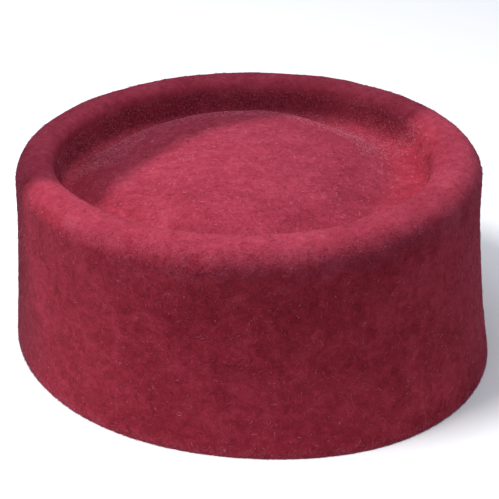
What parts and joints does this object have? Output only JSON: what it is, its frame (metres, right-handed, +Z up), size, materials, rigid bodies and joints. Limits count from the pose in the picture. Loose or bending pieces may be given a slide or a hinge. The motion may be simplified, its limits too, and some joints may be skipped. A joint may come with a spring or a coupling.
{
  "type": "felt fez",
  "caption": "Low brimless hat of thick brushed felt, round on top with a rolled rim, a groove inside it and a shallow domed disc, open below for the head",
  "frame": {"origin": "on the ground under the middle of the cap", "axes": "+Z up, -Y towards the front as pictured, +X to the right of it"},
  "size_m": [0.187, 0.1808, 0.078],
  "materials": {
    "crimson_felt": "brushed wool felt, matt with a soft nap"
  },
  "bodies": {
    "root": {"felt_cap": "crimson_felt"}
  },
  "joints": []
}
